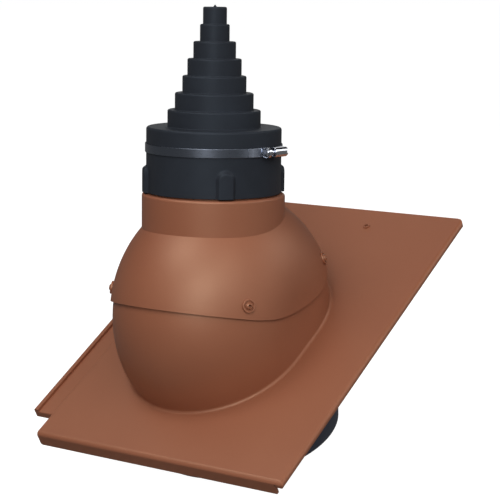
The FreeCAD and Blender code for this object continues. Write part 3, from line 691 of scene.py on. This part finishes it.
# %% [markdown]
# ## The boot
#
# The boot is one rubber moulding: a sleeve, a shoulder and seven steps with soft lips, closed
# by a pip where the rubber was fed in. Four lugs blend into the sleeve. They aren't separate
# pieces: the sleeve's own radius swells inside an arch-shaped outline, by an amount that grows
# with the distance from that outline and levels off on the lug's flat face. The angles are
# packed closely only across the lugs.

# %% The boot's section
NECK_RISE = 128.6
NECK_TOP = AXIS_HEIGHT + NECK_RISE
BOOT_FOOT = 1.4
BOOT_INSIDE = 66.2
BOOT_OUTSIDE = 70.0
BOOT_SHOULDER = 68.8
SHOULDER_ROUND = 2.5
STEP_RADII = (48.15, 40.6, 33.0, 27.9, 21.9, 15.2, 12.25)
STEP_HEIGHT = 17.5
STEP_WALL = 3.0
STEP_LIP = 1.7
STEP_NOOK = 0.7
PIP_RADIUS = 1.8
PIP_FLAT = 0.3
PIP_RISE = 2.2
LUG_HALF_WIDTH = 10.25
LUG_ARCH = 20.25
LUG_TOP = LUG_ARCH + LUG_HALF_WIDTH
PLAIN_ABOVE_LUG = 3
ROWS_MARGIN = 2
ROW_GAP = 0.9


def boot_path():
    """The boot's section: down the inside of the sleeve, round its foot, up the outside with
    its steps to the pip, and down the inside of the steps."""
    ceiling = BOOT_SHOULDER - STEP_WALL
    sleeve = [(BOOT_INSIDE, ceiling, 0), (BOOT_INSIDE, BOOT_FOOT, SOFT),
              (BOOT_OUTSIDE, BOOT_FOOT, FULL), (BOOT_OUTSIDE, LUG_TOP + PLAIN_ABOVE_LUG, 0)]
    cone = [sleeve[-1], (BOOT_OUTSIDE, BOOT_SHOULDER, SHOULDER_ROUND)]
    inside = []
    for place, radius in enumerate(STEP_RADII):
        low = BOOT_SHOULDER + place * STEP_HEIGHT
        cone += [(radius, low, STEP_NOOK), (radius, low + STEP_HEIGHT, STEP_LIP)]
        inside += [(radius - STEP_WALL, low - STEP_WALL, 0),
                   (radius - STEP_WALL, low + STEP_HEIGHT - STEP_WALL, 0)]
    tip = BOOT_SHOULDER + len(STEP_RADII) * STEP_HEIGHT
    cone += [(PIP_RADIUS, tip, SOFT), (PIP_FLAT, tip + PIP_RISE, SMALL), (0, tip + PIP_RISE, 0)]
    hollow = [(0, tip - STEP_WALL, 0)] + inside[::-1] + [(BOOT_INSIDE, ceiling, 0)]
    foot = rounded(sleeve)[:-1]
    rise = np.arange(BOOT_FOOT + ROWS_MARGIN, LUG_TOP + ROWS_MARGIN, ROW_GAP)
    wall = np.column_stack([np.full(len(rise), BOOT_OUTSIDE), rise])
    return np.vstack([foot, wall, rounded(cone), rounded(hollow)])


section = boot_path()
print("the boot's section has", len(section), "points")

# %% The boot's lugs
LUG_RISE = 4.2
LUG_SLOPE_RUN = 3.8
LUG_STRAIGHTNESS = 0.45
LUG_TURNS = np.radians((45, 135, 225, 315))
LUG_SIDE_MARGIN = 0.6
COARSE_TURNS = 144
FINE_TURNS = 57
TURN_GAP = 0.01
SLEEVE_MARGIN = 1


def lug_swell(turns, height):
    """How far the sleeve stands out. The distance inside the arch is the half width less the
    distance from the lug's middle line, measured from the arch's centre above its springing.
    The slope is part straight and part eased: three shares squared less two shares cubed."""
    off_middle = np.min(np.abs((turns[None] - LUG_TURNS[:, None] + math.pi)
                               % (2 * math.pi) - math.pi), axis=0) * BOOT_OUTSIDE
    above = np.maximum(height - LUG_ARCH, 0)
    inside = LUG_HALF_WIDTH - np.hypot(off_middle, above)
    share = np.clip(inside / LUG_SLOPE_RUN, 0, 1)
    eased = share * share * (3 - 2 * share)
    return LUG_RISE * (LUG_STRAIGHTNESS * share + (1 - LUG_STRAIGHTNESS) * eased)


coarse_turns = even_turns(COARSE_TURNS)
across_lug = np.linspace(-1, 1, FINE_TURNS) * (LUG_HALF_WIDTH + LUG_SIDE_MARGIN) / BOOT_OUTSIDE
fine_turns = (LUG_TURNS[:, None] + across_lug).ravel()
from_lugs = np.min(np.abs(coarse_turns[:, None] - LUG_TURNS), axis=1)
plain_turns = coarse_turns[from_lugs > across_lug[-1] + TURN_GAP]
boot_turns = np.sort(np.concatenate([plain_turns, fine_turns]))
boot_points = lathed(section, boot_turns)
on_sleeve = ((section[:, 0] > BOOT_OUTSIDE - SLEEVE_MARGIN)
             & (section[:, 1] < LUG_TOP + SLEEVE_MARGIN))
swell = lug_swell(boot_turns, section[:, 1][:, None]) * on_sleeve[:, None]
boot_points[..., 0] += swell * np.cos(boot_turns)
boot_points[..., 1] += swell * np.sin(boot_turns)
boot_points[..., 2] += NECK_TOP
woven("boot", [boot_points], boot_rubber, ["stepped_boot"])

# %% [markdown]
# ## Screws and washers
#
# The four screws sit on the ring that is the dome's centre line. A screw's own axis is found
# by turning about the dome's level axis and then leaning to one side, which are two plain
# rotations, so one profile serves all four. The head is a low dome over a small socket, and
# its washer has a raised rim round a groove.

# %% Where the screws sit
FIT_GAP = 0.3
HOOD_WALL = 2.7
HOOD_OUTSIDE = DOME_RADIUS + FIT_GAP + HOOD_WALL
SCREW_SIDE = 58.5
SCREW_FRONT = 19.25
SCREW_REAR = 43.5
SHANK_RADIUS = 2.4
WASHER_THICKNESS = 1.0
SEAT = HOOD_OUTSIDE + WASHER_THICKNESS


def screw_frames():
    """For each screw, the spot on the ring and the rotation that stands Z along the screw."""
    for wheel in (SCREW_FRONT, 180 - SCREW_REAR):
        angle = math.radians(wheel)
        ring = DOME_RING * np.array((0, -math.cos(angle), math.sin(angle)))
        for side in (-1, 1):
            turn = (Matrix.Rotation(math.pi / 2 - angle, 3, "X")
                    @ Matrix.Rotation(math.radians(side * SCREW_SIDE), 3, "Y"))
            yield DOME_AXIS + ring, np.array(turn)


def set_on_hood(points):
    """The same points at each of the four screws: rotate, then move to the spot."""
    return [points @ turn.T + spot for spot, turn in screw_frames()]


print("the heads sit", round(SEAT, 2), "mm from the ring")

# %% Screws
SHANK_LENGTH = 14.0
HEAD_RADIUS = 3.9
HEAD_HEIGHT = 3.0
HEAD_RIM = 0.9
BROW_RADIUS = 3.1
BROW_HEIGHT = 2.3
BROW_ROUND = 1.2
CROWN_RADIUS = 2.1
SOCKET_RADIUS = 1.5
SOCKET_DEPTH = 3.4
SCREW_TURNS = 48

shank_end = SEAT - SHANK_LENGTH
top = SEAT + HEAD_HEIGHT
socket_floor = top - SOCKET_DEPTH
screw_path = rounded([
    (0, shank_end, 0), (SHANK_RADIUS, shank_end + SHANK_RADIUS, SOFT), (SHANK_RADIUS, SEAT, HAIR),
    (HEAD_RADIUS, SEAT, SMALL), (HEAD_RADIUS, SEAT + HEAD_RIM, FULL),
    (BROW_RADIUS, SEAT + BROW_HEIGHT, BROW_ROUND), (CROWN_RADIUS, top, FULL),
    (SOCKET_RADIUS, top, FINE), (SOCKET_RADIUS, socket_floor, FINE), (0, socket_floor, 0)])
woven("hood_screw_heads", set_on_hood(lathed(screw_path, even_turns(SCREW_TURNS))),
      screw_paint, ["hood_screws"])

# %% Washers
WASHER_RADIUS = 6.9
WASHER_RIM = 1.5
WASHER_RIM_RISE = 1.2
GROOVE_SLOPE = 0.3
GROOVE_DEPTH = 0.1
GROOVE_ROUND = 0.15
WASHER_TURNS = 64

rim_top = SEAT + WASHER_RIM_RISE
rim_inside = WASHER_RADIUS - WASHER_RIM
groove = SEAT - GROOVE_DEPTH
washer_path = rounded([
    (SHANK_RADIUS, HOOD_OUTSIDE, HAIR), (WASHER_RADIUS, HOOD_OUTSIDE, FINE),
    (WASHER_RADIUS, rim_top, MIDDLE), (rim_inside, rim_top, SOFT),
    (rim_inside - GROOVE_SLOPE, groove, GROOVE_ROUND), (SHANK_RADIUS, groove, HAIR)], closed=True)
woven("sealing_washer_rings", set_on_hood(lathed(washer_path, even_turns(WASHER_TURNS))),
      washer_paint, ["sealing_washers"], wrap_rows=True)

# %% [markdown]
# ## The clamp's band
#
# The band is a strip with rolled edges. Its loose end lies over it on the near side of the
# housing, and is pressed thin where it comes out from under the band. Both are one section
# carried round the neck. The loose end grows from a thin section to the full one, and its last
# rows close on their own middle.

# %% Band and loose end
BAND_INSIDE = 70.3
BAND_THICKNESS = 0.9
BAND_OUTSIDE = BAND_INSIDE + BAND_THICKNESS
BAND_LOW = NECK_TOP + 42.9
BAND_WIDTH = 9.0
EDGE_ROLL_SHARE = 0.35
CLAMP_ANGLE = 81.5
HOUSING_LENGTH = 3.4
HOUSING_SETBACK = 1.0
GAP = 0.2
TAIL_ANGLE = 14.0
TAIL_THINNED = 0.2
TAIL_RAMP = 12
TAIL_ROWS = 40
END_FULLNESS = 0.9
BAND_TURNS = 240


def strip_section(inner, thickness):
    """The rounded section of the band, between two radii."""
    outer = inner + thickness
    high = BAND_LOW + BAND_WIDTH
    roll = thickness * EDGE_ROLL_SHARE
    return rounded([(inner, BAND_LOW, roll), (outer, BAND_LOW, roll), (outer, high, roll),
                    (inner, high, roll)], closed=True)


ring_section = strip_section(BAND_INSIDE, BAND_THICKNESS)
woven("band_strip", [lathed(ring_section, even_turns(BAND_TURNS))], clamp_steel,
      ["clamp_band"], wrap_rows=True)

housing_start = HOUSING_SETBACK + HOUSING_LENGTH + GAP
half_housing = math.degrees(math.atan(housing_start / BAND_OUTSIDE))
tail_end = CLAMP_ANGLE - 90 - half_housing
tail_turns = np.radians(np.linspace(tail_end - TAIL_ANGLE, tail_end, TAIL_ROWS))
full_tail = lathed(strip_section(BAND_OUTSIDE, BAND_THICKNESS), tail_turns)
thin_tail = lathed(strip_section(BAND_OUTSIDE, TAIL_THINNED), tail_turns)
growth = np.clip(np.arange(TAIL_ROWS) / TAIL_RAMP, 0, 1)[None, :, None]
tail_points = thin_tail * (1 - growth) + full_tail * growth
tail_middle = tail_points.mean(axis=0, keepdims=True)
fullness = np.ones(TAIL_ROWS)
fullness[[0, -1]] = 0
fullness[[1, -2]] = END_FULLNESS
tail_points = tail_middle + (tail_points - tail_middle) * fullness[None, :, None]
# The loose end takes the lighter steel, which is a painted highlight on the band's own strip.
woven("band_tail", [tail_points], tail_steel_painted_highlight, ["clamp_band"],
      wrap_rows=True, wrap_columns=False)

# %% [markdown]
# ## The clamp's housing
#
# The housing is a short tube with thick rolled rims, round above and square where it sits on
# the band. It is worked out in the clamp's own frame: down the boot, along the screw, and out
# from the band. Its wall is followed round, and at each angle a loop runs over both rims. A
# cosine that is cut off flattens the wall, and a small power of a sine squares the rims.

# %% Housing
HOUSING_RADIUS = 5.4
HOUSING_WALL = 0.9
HOUSING_TURNS = 96
RIM_TURNS = 40
WALL_FLATNESS = 1.4
RIM_SQUARENESS = 0.25

upright = math.radians(CLAMP_ANGLE - 90)
OUTWARD = np.array((math.cos(upright), math.sin(upright), 0))
ALONG = np.array((-math.sin(upright), math.cos(upright), 0))
DOWN = np.array((0, 0, -1))
CLAMP_SEAT = BAND_OUTSIDE * OUTWARD + np.array((0, 0, BAND_LOW + BAND_WIDTH / 2))


def set_on_band(down, along, outward):
    """Points in the clamp's own frame: down the boot, along the screw, out from the band."""
    return (CLAMP_SEAT + down[..., None] * DOWN + along[..., None] * ALONG
            + outward[..., None] * OUTWARD)


around = even_turns(HOUSING_TURNS)
over_rims = even_turns(RIM_TURNS)
bore = HOUSING_RADIUS - HOUSING_WALL
square = np.maximum(np.abs(np.sin(around)), np.abs(np.cos(around)))
outline = np.where(np.cos(around) < 0, HOUSING_RADIUS / square, HOUSING_RADIUS)
rim_out = np.clip(np.cos(over_rims) * WALL_FLATNESS, -1, 1)[:, None]
rim_run = np.sign(np.sin(over_rims)) * np.abs(np.sin(over_rims)) ** RIM_SQUARENESS
reach = (outline + bore) / 2 + (outline - bore) / 2 * rim_out
along_housing = (np.broadcast_to(rim_run[:, None] * HOUSING_LENGTH / 2, reach.shape)
                 - HOUSING_SETBACK - HOUSING_LENGTH / 2)
housing_points = set_on_band(reach * np.sin(around), along_housing,
                             HOUSING_RADIUS + reach * np.cos(around))
woven("worm_housing", [housing_points], bright_steel, ["clamp_housing"],
      wrap_rows=True)

# %% [markdown]
# ## The clamp's screw
#
# The worm inside the housing has a real thread: its radius follows a wave that climbs by one
# pitch for each turn. Behind it a hollow guide keeps the screwdriver's blade from slipping,
# with notches in its far rim. Worm and guide are two grids in one piece.

# %% Worm
THREAD_PITCH = 2.2
THREAD_DEPTH = 0.55
THREAD_STEEPNESS = 1.6
THREAD_FLOOR = 0.3
THREAD_ROWS = 90
THREAD_END = 0.5
WORM_BEVEL = 0.8
WORM_TURNS = 96
WORM_NECK_RADIUS = 2.6
WORM_NECK_LENGTH = 6.8
NECK_OVERLAP = 0.2


def turned_on_screw(path, turns, shift=0):
    """A profile (radius, run) turned about the screw's axis. Shift moves points along it."""
    radius, run = path[:, 0][:, None], path[:, 1][:, None]
    along = np.broadcast_to(run, (len(path), len(turns))) + shift
    return set_on_band(radius * np.sin(turns), along, HOUSING_RADIUS + radius * np.cos(turns))


worm_end = GAP - HOUSING_SETBACK
worm_start = -housing_start - HOUSING_WALL
worm_radius = HOUSING_RADIUS - HOUSING_WALL - GAP
worm_turns = even_turns(WORM_TURNS)
thread_run = np.linspace(worm_start + THREAD_END, worm_end - THREAD_END, THREAD_ROWS)
thread_path = np.vstack([
    [(0, worm_start), (worm_radius - WORM_BEVEL, worm_start)],
    np.column_stack([np.full(THREAD_ROWS, worm_radius), thread_run]),
    [(worm_radius - WORM_BEVEL, worm_end), (WORM_NECK_RADIUS - NECK_OVERLAP, worm_end)]])
thread_points = turned_on_screw(thread_path, worm_turns)
# The thread is cut by a triangular wave, made steeper and cut off flat at both levels. The two
# rows at each end of the path are the worm's bevelled ends, and stay.
phase = (thread_run[:, None] / THREAD_PITCH - worm_turns[None] / (2 * math.pi)) % 1
wave = np.abs(phase - 0.5) * 2
depth = THREAD_DEPTH * np.clip(wave * THREAD_STEEPNESS - THREAD_FLOOR, 0, 1)
outwards = set_on_band(np.sin(worm_turns), np.zeros(WORM_TURNS), np.cos(worm_turns)) - CLAMP_SEAT
thread_points[2:-2] -= depth[..., None] * outwards[None]
print("the thread takes", THREAD_ROWS, "rows over", round(worm_end - worm_start, 1), "mm")

# %% Guide
GUIDE_LENGTH = 17.8
GUIDE_RADIUS = 5.2
GUIDE_RECESS_RADIUS = 3.9
GUIDE_RECESS_DEPTH = 1.2
GUIDE_BORE_RADIUS = 4.1
GUIDE_BORE_DEPTH = 11.0
NOTCH_HALF_WIDTH = 1.3
NOTCH_DEPTH = 1.8
NOTCH_ZONE = 1
GUIDE_TURNS = 192

guide_start = worm_end + WORM_NECK_LENGTH
guide_end = guide_start + GUIDE_LENGTH
recess_floor = guide_start + GUIDE_RECESS_DEPTH
bore_floor = guide_end - GUIDE_BORE_DEPTH
guide_path = rounded([
    (0, worm_end - THREAD_END, 0), (WORM_NECK_RADIUS, worm_end - THREAD_END, 0),
    (WORM_NECK_RADIUS, recess_floor, SMALL), (GUIDE_RECESS_RADIUS, recess_floor, SMALL),
    (GUIDE_RECESS_RADIUS, guide_start, SMALL), (GUIDE_RADIUS, guide_start, MIDDLE),
    (GUIDE_RADIUS, guide_end, SMALL), (GUIDE_BORE_RADIUS, guide_end, SMALL),
    (GUIDE_BORE_RADIUS, bore_floor, SOFT), (0, bore_floor, 0)])
guide_turns = even_turns(GUIDE_TURNS)
off_level = np.abs(np.sin(guide_turns)) * GUIDE_RADIUS
off_upright = np.abs(np.cos(guide_turns)) * GUIDE_RADIUS
in_notch = np.minimum(off_level, off_upright) < NOTCH_HALF_WIDTH
near_rim = (guide_path[:, 1] > guide_end - NOTCH_ZONE)[:, None]
guide_points = turned_on_screw(guide_path, guide_turns, -NOTCH_DEPTH * in_notch * near_rim)
woven("worm_screw", [thread_points, guide_points], bright_steel,
      ["clamp_screw"])

# %% [markdown]
# ## Floor and light
#
# A pale floor runs far past the picture, so that it also fills the background. It glows by
# itself and is hidden from bounced and mirrored rays, so that it stays white and sends no light
# up at the part. The light is a studio's: round soft lamps on a sphere about the part. Most of
# it comes from beside the camera, from high on the left and from low in front. Weaker ones lift
# the two sides and draw the rims from behind. The surround glows faintly up to a little over
# the horizon and is black above, so that steel and rubber keep their depth.

# %% Floor
FLOOR_REACH = 300.0
FLOOR_GAP = 0.002
FLOOR_GREY = 0.35
FLOOR_ROUGHNESS = 0.9
FLOOR_GLOW = 1.0

floor_shape = bpy.data.meshes.new("floor")
corners = FLOOR_REACH * np.array([(-1, -1), (1, -1), (1, 1), (-1, 1)])
floor_level = cad_low.z - FLOOR_GAP
floor_shape.from_pydata([(x, y, floor_level) for x, y in corners], [], [(0, 1, 2, 3)])
floor = bpy.data.objects.new("floor", floor_shape)
bpy.context.scene.collection.objects.link(floor)
pale, shader, _ = start_material("pale_floor")
plug(shader, {
    "Base Color": (FLOOR_GREY, FLOOR_GREY, FLOOR_GREY, 1),
    "Roughness": FLOOR_ROUGHNESS,
    "Specular IOR Level": 0.0,
    "Emission Color": (1, 1, 1, 1),
    "Emission Strength": FLOOR_GLOW,
})
floor_shape.materials.append(pale)
floor.visible_diffuse = False
floor.visible_glossy = False
print("the floor lies", round(-floor_level / MM, 1), "mm below the origin")

# %% Lamps, each by its compass angle from the front, its height angle and its power
AIM = Vector((0, 0, 0.1))
LAMP_DISTANCE = 3.0
LAMP_SIZE = 1.6
LAMPS = {
    "beside_camera": (30, 30, 32),
    "low_front": (20, 18, 18),
    "high_left": (-20, 58, 34),
    "right": (65, 32, 13),
    "high_right": (65, 58, 6),
    "low_right": (95, 12, 4),
    "behind_right": (130, 32, 12),
    "behind_left": (-150, 32, 6),
    "far_left": (-80, 58, 5),
}


def soft_lamp(name, compass, height, power):
    """A round area lamp that faces the part: its direction is the front, turned by the compass
    angle to the right, and raised by the height angle."""
    across, up = math.radians(compass), math.radians(height)
    outward = Vector((math.sin(across) * math.cos(up), -math.cos(across) * math.cos(up),
                      math.sin(up)))
    lamp = bpy.data.lights.new(name, "AREA")
    lamp.shape = "DISK"
    lamp.size = LAMP_SIZE
    lamp.energy = power
    holder = bpy.data.objects.new(name, lamp)
    turn = (-outward).to_track_quat("-Z", "Y").to_matrix().to_4x4()
    holder.matrix_world = Matrix.Translation(AIM + outward * LAMP_DISTANCE) @ turn
    bpy.context.scene.collection.objects.link(holder)


for name, (compass, height, power) in LAMPS.items():
    soft_lamp(name, compass, height, power)
print("lamps:", len(LAMPS))

# %% Surround
SURROUND_LOW = 0.13
SURROUND_HIGH = 0.0
FADE_START = 0.2
FADE_END = 0.4
UPWARD = 2

world = bpy.data.worlds.new("surround")
world.use_nodes = True
surround = world.node_tree.nodes["Background"]
direction = Wire(world.node_tree).make("ShaderNodeTexCoord", out="Generated")
height = direction.make("ShaderNodeSeparateXYZ", None, {"Vector": direction}, out=UPWARD)
fading = height.make("ShaderNodeMapRange", None, {
    "Value": height, "From Min": FADE_START, "From Max": FADE_END,
    "To Min": SURROUND_LOW, "To Max": SURROUND_HIGH})
surround.inputs["Color"].default_value = (1, 1, 1, 1)
world.node_tree.links.new(fading.socket, surround.inputs["Strength"])
bpy.context.scene.world = world
bpy.context.scene.view_settings.view_transform = "Standard"
print("the surround fades out between heights", FADE_START, "and", FADE_END)
